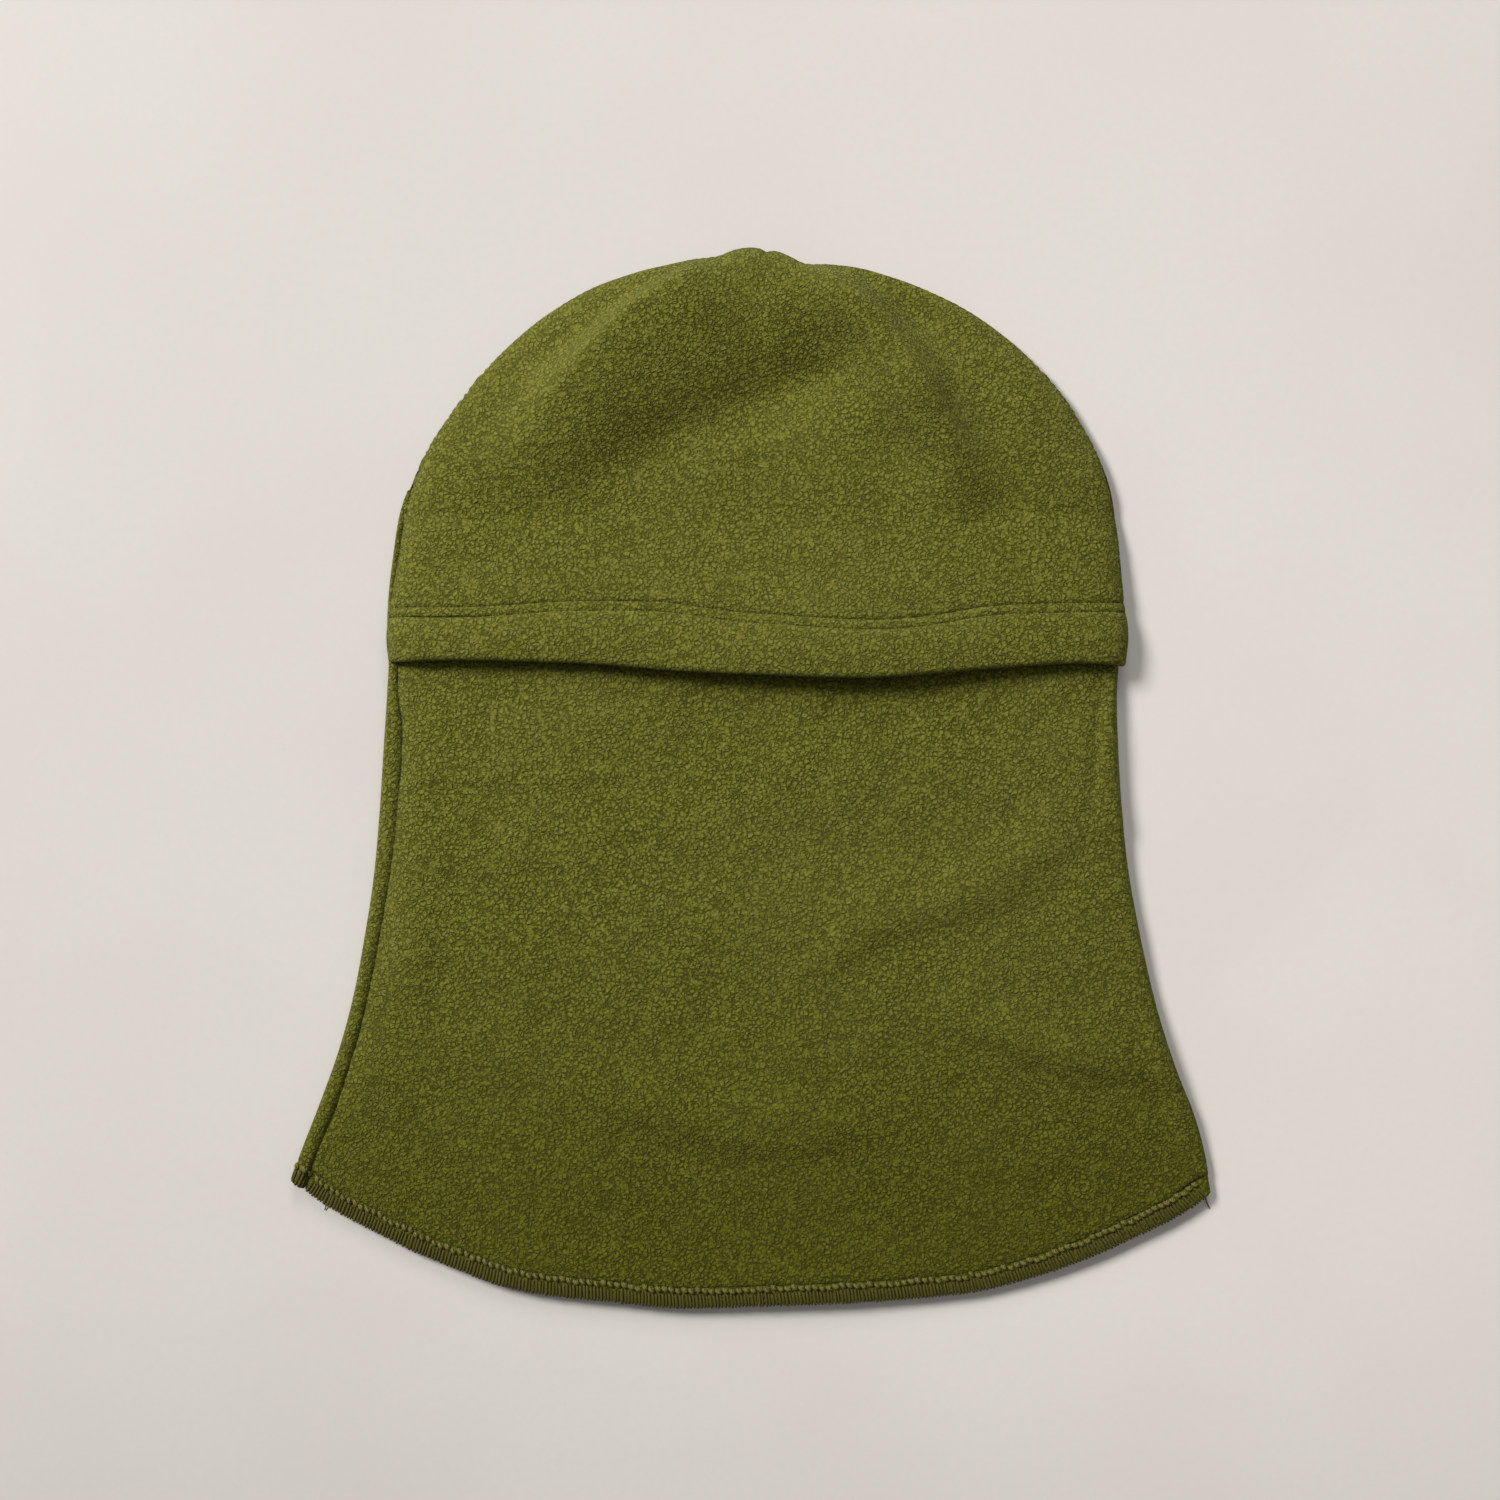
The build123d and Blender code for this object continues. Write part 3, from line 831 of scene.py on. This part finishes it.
def path_object(name, paths):
    """Edge chains, each point carrying the way its cloth faces."""
    points = np.vstack([path for path, _ in paths])
    ups = np.vstack([up for _, up in paths])
    edges = []
    start = 0
    for path, _ in paths:
        edges += [(start + i, start + i + 1) for i in range(len(path) - 1)]
        start += len(path)
    mesh = bpy.data.meshes.new(name)
    mesh.from_pydata((points * MM).tolist(), edges, [])
    facing = mesh.attributes.new("facing", "FLOAT_VECTOR", "POINT")
    facing.data.foreach_set("vector", ups.ravel().astype(np.float32))
    return place_object(name, mesh)


def strand(points, radius, sides=5, flat=0.62):
    """A short thread through points, in millimetres, pinched at its ends."""
    line = np.array(points, float)
    ahead = unit_rows(np.gradient(line, axis=0))
    beside = np.cross(ahead, (1.0, 0.0, 0.02))
    weak = np.linalg.norm(beside, axis=1) < 0.3
    beside[weak] = np.cross(ahead[weak], (0.0, 0.0, 1.0))
    beside = unit_rows(beside)
    across = np.cross(ahead, beside)
    turns = np.linspace(0, 2 * math.pi, sides, endpoint=False)
    pinch = np.ones(len(line))
    pinch[[0, -1]] = 0.45
    rings = [
        point + radius * size * (np.outer(np.cos(turns), wide) + flat * np.outer(np.sin(turns), tall))
        for point, size, wide, tall in zip(line, pinch, across, beside)
    ]
    verts = np.vstack(rings)
    faces = [
        (i * sides + j, i * sides + (j + 1) % sides,
         (i + 1) * sides + (j + 1) % sides, (i + 1) * sides + j)
        for i in range(len(line) - 1) for j in range(sides)
    ]
    last = (len(line) - 1) * sides
    faces += [tuple(range(sides))[::-1], tuple(range(last, last + sides))]
    return verts, faces


def stitch_shape(name, strands):
    """One stitch, made of a few strands."""
    mesh = bpy.data.meshes.new(name)
    shape = bmesh.new()
    for verts, faces in strands:
        made = [shape.verts.new(Vector(v) * MM) for v in verts]
        for face in faces:
            shape.faces.new([made[i] for i in face])
    bmesh.ops.recalc_face_normals(shape, faces=shape.faces)
    shape.to_mesh(mesh)
    shape.free()
    mesh.shade_smooth()
    return place_object(name, mesh)


def stitch_tree():
    """Node tree that sets one stitch after another along edge chains."""
    tree = bpy.data.node_groups.new("stitches_along_seam", "GeometryNodeTree")
    face = tree.interface
    for word, kind in (
        ("Geometry", "Geometry"), ("Stitch", "Object"), ("Pitch", "Float"),
        ("Unevenness", "Float"), ("Seed", "Int"), ("Thread", "Material"),
    ):
        face.new_socket(word, in_out="INPUT", socket_type="NodeSocket" + kind)
    face.new_socket("Geometry", in_out="OUTPUT", socket_type="NodeSocketGeometry")

    def add(kind, settings=None, **inputs):
        made = tree.nodes.new(kind)
        for setting, value in (settings or {}).items():
            setattr(made, setting, value)
        for name, value in inputs.items():
            socket = next(s for s in made.inputs if s.name == name and s.enabled)
            if isinstance(value, bpy.types.NodeSocket):
                tree.links.new(value, socket)
            else:
                socket.default_value = value
        return made

    given = tree.nodes.new("NodeGroupInput").outputs
    chain = add("GeometryNodeMeshToCurve", Mesh=given["Geometry"])
    spots = add("GeometryNodeCurveToPoints", {"mode": "LENGTH"},
                Curve=chain.outputs["Curve"], Length=given["Pitch"])
    facing = add("GeometryNodeInputNamedAttribute", {"data_type": "FLOAT_VECTOR"}, Name="facing")
    facing_out = next(s for s in facing.outputs if s.name == "Attribute" and s.enabled)
    upright = add("FunctionNodeAlignRotationToVector", {"axis": "Z"}, Vector=facing_out)
    along = add("FunctionNodeAlignRotationToVector", {"axis": "X", "pivot_axis": "Z"},
                Rotation=upright.outputs["Rotation"], Vector=spots.outputs["Tangent"])
    wobble = add("FunctionNodeRandomValue", {"data_type": "FLOAT_VECTOR"}, Seed=given["Seed"])
    low, high = [s for s in wobble.inputs if s.name in ("Min", "Max") and s.enabled]
    low.default_value, high.default_value = (-0.2, -0.16, -0.22), (0.2, 0.16, 0.22)
    uneven = add("ShaderNodeVectorMath", {"operation": "SCALE"},
                 Vector=next(s for s in wobble.outputs if s.enabled), Scale=given["Unevenness"])
    size = add("ShaderNodeVectorMath", {"operation": "ADD"}, Vector=uneven.outputs["Vector"])
    size.inputs[1].default_value = (1, 1, 1)
    stitch = add("GeometryNodeObjectInfo", Object=given["Stitch"])
    placed = add("GeometryNodeInstanceOnPoints", Points=spots.outputs["Points"],
                 Instance=stitch.outputs["Geometry"], Rotation=along.outputs["Rotation"],
                 Scale=size.outputs["Vector"])
    real = add("GeometryNodeRealizeInstances", Geometry=placed.outputs["Instances"])
    done = add("GeometryNodeSetMaterial", Geometry=real.outputs["Geometry"],
               Material=given["Thread"])
    tree.links.new(done.outputs["Geometry"], tree.nodes.new("NodeGroupOutput").inputs[0])
    return tree


stitches = stitch_tree()


def sew(name, paths, stitch, pitch, unevenness, seed, material, *nodes):
    """A row of real stitches along paths, standing for CAD nodes."""
    holder = path_object(name + "_line", paths)
    modifier = holder.modifiers.new("Stitches", "NODES")
    modifier.node_group = stitches
    values = {
        "Stitch": stitch, "Pitch": pitch * MM, "Unevenness": unevenness,
        "Seed": seed, "Thread": material,
    }
    for item in stitches.interface.items_tree:
        if item.in_out == "INPUT" and item.name in values:
            modifier[item.identifier] = values[item.name]
    holder.update_tag()
    graph = bpy.context.evaluated_depsgraph_get()
    mesh = bpy.data.meshes.new_from_object(holder.evaluated_get(graph), depsgraph=graph)
    mesh.name = name
    if "facing" in mesh.attributes:
        mesh.attributes.remove(mesh.attributes["facing"])
    bpy.data.objects.remove(holder)
    piece = place_object(name, mesh)
    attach(piece, "root")
    if nodes:
        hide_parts(*nodes)
    return piece


needle_stitch = stitch_shape("needle_stitch", [strand(
    [(-1.35, 0, -0.45), (-1.0, 0, -0.05), (-0.4, 0, 0.12), (0.4, 0, 0.12), (1.0, 0, -0.05),
     (1.35, 0, -0.45)], 0.36)])
zigzag_stitch = stitch_shape("zigzag_stitch", [
    strand([(-1.3, -1.9, 0), (-0.6, -0.8, 0.15), (0.0, 0.6, 0.18), (0.2, 1.8, 0)], 0.26),
    strand([(0.2, 1.8, 0.05), (0.5, 0.6, 0.3), (0.9, -0.8, 0.25), (1.4, -1.9, 0)], 0.26),
])
UNDER = EDGE_CLOTH + 0.22
overlock_stitch = stitch_shape("overlock_stitch", [
    strand([(-0.95, 4.4, -0.1), (-0.75, 3.8, 0.24), (-0.5, 1.9, 0.3), (-0.3, 0.2, 0.26),
            (-0.22, -0.74, -0.1), (-0.2, -0.95, -UNDER / 2), (-0.2, -0.5, -UNDER),
            (-0.2, 1.2, -UNDER - 0.1), (-0.2, 3.2, -UNDER + 0.1)], 0.47, 5, 0.6),
    strand([(0.3, 4.4, -0.1), (0.5, 3.8, 0.2), (0.72, 1.9, 0.26), (0.94, 0.2, 0.2),
            (1.0, -0.6, -0.1), (1.02, -0.82, -UNDER / 2), (1.0, -0.5, -UNDER),
            (1.0, 1.2, -UNDER - 0.1), (1.0, 3.2, -UNDER + 0.1)], 0.42, 5, 0.6),
])
bead_stitch = stitch_shape("bead_stitch", [
    strand([(-0.95, 6.3, -0.2), (-0.66, 6.0, 0.5), (-0.1, 5.4, 0.8), (0.4, 4.95, 0.6),
            (0.6, 4.6, -0.05)], 0.78, 6, 0.7),
    strand([(0.1, 6.4, -0.2), (0.4, 6.0, 0.3), (0.75, 5.3, 0.35), (0.9, 4.8, -0.1)], 0.3, 5, 0.7),
])
inner_overlock_stitch = stitch_shape("inner_overlock_stitch", [
    strand([(-0.5, 3.2, 0.1), (-0.4, 1.4, 0.25), (-0.2, -0.3, 0.0), (0.0, -0.5, -0.9),
            (0.2, 0.5, -1.7)], 0.45),
])

# ------------------------------------------------------------------ stitching

for row_name, shift, node, seed in (
    ("brow_needle_row_lower", -BROW_ROW_GAP, "brow_needle_thread_lower", 11),
    ("brow_needle_row_upper", 0.0, "brow_needle_thread_upper", 12),
):
    row_x = np.linspace(-129.5, 133.0, 400)
    row = surface_path(row_x, stitch_y(row_x) + shift, crown_height, CLOTH / 2 + 0.02)
    sew(row_name, [row], needle_stitch, NEEDLE_PITCH, 0.5, seed, needle_thread, node)

inside_x = np.linspace(-122.0, 123.0, 300)
looper = surface_path(
    inside_x, stitch_y(inside_x) - BROW_ROW_GAP / 2, crown_height,
    -2 * FOLD_RADIUS - CLOTH / 2 - 0.1, -1)
sew("brow_looper_stitches", [looper], zigzag_stitch, LOOPER_PITCH, 0.5, 13, needle_thread,
    "brow_looper_thread")

for row_name, down, node, seed in (
    ("face_needle_row_upper", FACE_ROWS[0], "face_needle_thread_upper", 14),
    ("face_needle_row_lower", FACE_ROWS[1], "face_needle_thread_lower", 15),
):
    level = np.full_like(inside_x, TUCK_END - down)
    row = surface_path(inside_x, level, face_height, CLOTH / 2)
    sew(row_name, [row], needle_stitch, NEEDLE_PITCH, 0.5, seed, needle_thread, node)
level = np.full_like(inside_x, TUCK_END - sum(FACE_ROWS) / 2)
looper = surface_path(inside_x, level, face_height, -2 * FOLD_RADIUS - CLOTH / 2 - 0.25, -1)
sew("face_looper_stitches", [looper], zigzag_stitch, LOOPER_PITCH, 0.5, 16, needle_thread,
    "face_looper_thread")


def rim_path(grid, face, count=420):
    """The neck edge of a panel's face, evenly spaced, with the way it looks."""
    shares = np.linspace(0.004, 0.996, count)
    line = spread(face[0], shares)
    ups = grid_normals(grid[:3])[1]
    gone = np.r_[0, np.cumsum(np.linalg.norm(np.diff(face[0], axis=0), axis=1))]
    ups = np.stack([np.interp(shares * gone[-1], gone, axis) for axis in ups.T], 1)
    return line, unit_rows(ups)


front_rim = rim_path(face_grid[:, :-5], face_outer[:, :-5])
back_rim = rim_path(back_grid, back_outer)
for word, rim, unevenness, seed in (("front", front_rim, 0.85, 21), ("back", back_rim, 0.45, 23)):
    sew(f"{word}_neck_overlock_threads", [rim], overlock_stitch, OVERLOCK_PITCH, unevenness, seed,
        thread, f"{word}_neck_overlock")
    sew(f"{word}_neck_needle_beads", [rim], bead_stitch, OVERLOCK_PITCH, 0.6, seed + 1,
        bead_thread, f"{word}_neck_needle_thread")

# ------------------------------------------------------------------ inside the side seams

SEAM_INSETS = np.array([1.5, 2.4, 3.4, 4.6, 5.6, 6.4])


def seam_edge(side):
    """The seam's line from the neck to the peak, on one side."""
    peak = int(np.argmax(crown_edge[:, 1]))
    if side < 0:
        return np.vstack([seam_line[10:-3], crown_edge[4:peak]])
    return np.vstack([right_side[8:-3], crown_edge[peak + 1:][::-1][4:]])


def front_height(x, y):
    """Middle of whichever front panel the seam joins there."""
    return np.where(y > brow_y(x) + 2, crown_height(x, y), face_height(x, y) + 0.2)


for side, word in ((-1, "left"), (1, "right")):
    line = spread(seam_edge(side), np.linspace(0, 1, 330))
    ahead = unit_rows(np.gradient(line, axis=0))
    inward = -side * np.stack([ahead[:, 1], -ahead[:, 0]], 1)
    plan = line[:, None] + inward[:, None] * SEAM_INSETS[None, :, None]
    roof = front_height(plan[:, :, 0], plan[:, :, 1]) - CLOTH / 2 - INSIDE_GAP
    floor_level = BACK_MIDDLE + CLOTH / 2 + INSIDE_GAP
    room = np.maximum(roof - floor_level, 0.5)
    fill = np.minimum(room, 2 * CLOTH)
    fill[:, -1] *= 0.7
    grid = np.dstack([plan, floor_level + room / 2])
    if side > 0:
        grid, fill = grid[:, ::-1], fill[:, ::-1]
    allowance, upper, _ = cloth_piece(f"{word}_seam_allowance_cloth", grid, fill, fleece)
    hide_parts(f"{word}_seam_allowance")
    column = -1 if side < 0 else 0
    edge_line = upper[:, column][::-side]
    ups = np.tile(UP, (len(edge_line), 1))
    sew(f"{word}_seam_overlock", [(edge_line[3:-3], ups[3:-3])], inner_overlock_stitch, 2.6, 0.4,
        30 + side, thread, f"{word}_seam_thread")

# ------------------------------------------------------------------ dart at the peak

dart_y = np.linspace(DART_FOOT, DART_TOP, 40)
dart_line_x = np.interp(dart_y, (DART_FOOT, DART_TOP), (7.5, 7.4))
dart_plan = np.stack([dart_line_x[:, None] + np.array([-2.0, -0.7, 0.7, 2.0]),
                      np.repeat(dart_y[:, None], 4, 1)], 2)
dart_grid = raise_grid(dart_plan, crown_height)
dart_grid[:, :, 2] -= CLOTH + 0.25
dart_cloth, _, _ = cloth_piece("crown_dart_allowance_cloth", dart_grid, 1.9, fleece)
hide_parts("crown_dart_allowance")
outer_y = np.linspace(181.6, 188.8, 12)
outer_x = np.interp(outer_y, (181.6, 190.5), (8.0, 5.0))
sew("crown_dart_stitches", [
    surface_path(outer_x, outer_y, crown_height, CLOTH / 2 - 0.1),
    surface_path(dart_line_x, dart_y, crown_height, -CLOTH - 0.25 - 1.05, -1),
], needle_stitch, NEEDLE_PITCH, 0.4, 41, needle_thread, "crown_dart_thread")


# ------------------------------------------------------------------ loose thread ends

def thread_end(name, points, radius=0.22):
    verts, faces = strand(smooth_curve(points, 0.5), radius, 6, 0.9)
    piece = new_object(name, verts, faces, thread)
    shape = bmesh.new()
    shape.from_mesh(piece.data)
    bmesh.ops.recalc_face_normals(shape, faces=shape.faces)
    shape.to_mesh(piece.data)
    shape.free()
    return piece


thread_end("right_loose_thread_end", [
    (164.6, -150.6, 2.2), (165.5, -153.0, 1.6), (166.2, -155.2, 0.9), (167.4, -157.6, 0.5)])
thread_end("left_loose_thread_end", [
    (-156.4, -152.4, 2.4), (-156.6, -154.6, 1.6), (-155.7, -156.6, 0.8), (-156.3, -158.2, 0.4)])

for spare in (needle_stitch, zigzag_stitch, overlock_stitch, bead_stitch, inner_overlock_stitch):
    bpy.data.objects.remove(spare)

# ------------------------------------------------------------------ table, light and camera

table_half = 1.6
table_mesh = bpy.data.meshes.new("tabletop")
table_mesh.from_pydata(
    [(-table_half, -table_half, 0), (table_half, -table_half, 0),
     (table_half, table_half, 0), (-table_half, table_half, 0)], [], [(0, 1, 2, 3)])
tabletop = place_object("tabletop", table_mesh)
table_mesh.materials.append(table_material())


def area_light(name, place, target, size, power):
    light = bpy.data.lights.new(name, "AREA")
    light.shape = "DISK"
    light.size = size
    light.energy = power
    light.color = (1.0, 0.985, 0.96)
    holder = place_object(name, light)
    holder.location = place
    holder.rotation_euler = (Vector(target) - Vector(place)).to_track_quat("-Z", "Y").to_euler()


area_light("window", (-1.5, 1.06, 1.62), (0, 0, 0), 0.8, 66.0)
area_light("far_window", (0.1, 1.7, 1.3), (0, 0, 0), 1.0, 14.0)
area_light("overhead", (0.7, 0.3, 1.9), (0.1, 0, 0), 1.6, 5.0)

world = bpy.data.worlds.new("room")
world.use_nodes = True
world.node_tree.nodes["Background"].inputs["Color"].default_value = (1.0, 0.97, 0.94, 1.0)
world.node_tree.nodes["Background"].inputs["Strength"].default_value = 0.13
bpy.context.scene.world = world
bpy.context.scene.view_settings.view_transform = "Standard"

camera = bpy.data.cameras.new("above")
camera.lens = 50.0
camera.sensor_width = 36.0
view_width = 0.543
camera_height = view_width * camera.lens / camera.sensor_width + 0.008
camera_holder = place_object("above", camera)
camera_holder.location = (-0.0007, 0.0101, camera_height)
bpy.context.scene.camera = camera_holder
